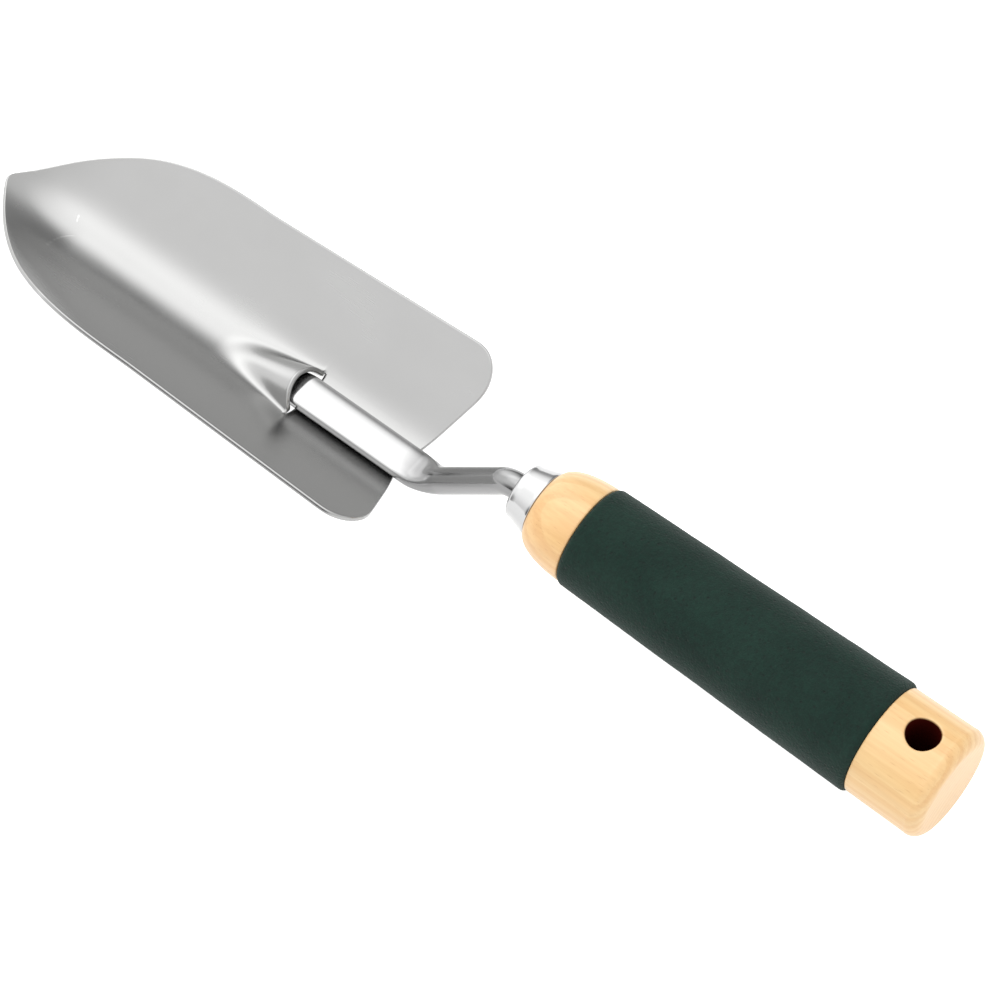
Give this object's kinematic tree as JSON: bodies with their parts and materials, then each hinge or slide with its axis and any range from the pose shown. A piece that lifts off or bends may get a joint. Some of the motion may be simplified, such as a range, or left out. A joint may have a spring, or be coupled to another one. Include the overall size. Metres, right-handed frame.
{
  "type": "hand trowel",
  "caption": "Hand trowel with a pressed V-shaped scoop, a cranked tang under a lanced pocket, a ferrule and a turned wooden handle with a foam sleeve.",
  "frame": {"origin": "centre of the hanging hole, on the handle's axis", "axes": "+X runs along the handle towards the scoop's tip, +Z is the open side of the scoop and runs along the hanging hole"},
  "size_m": [0.3088, 0.0664, 0.0451],
  "materials": {
    "plated_sheet": "polished",
    "plated_bar": "polished",
    "plated_cup": "polished",
    "pale_wood": "thin clear varnish",
    "green_foam": "matte closed-cell foam"
  },
  "bodies": {
    "root": {"scoop": "plated_sheet", "tang": "plated_bar", "ferrule": "plated_cup", "handle": "pale_wood", "grip": "green_foam"}
  },
  "joints": []
}
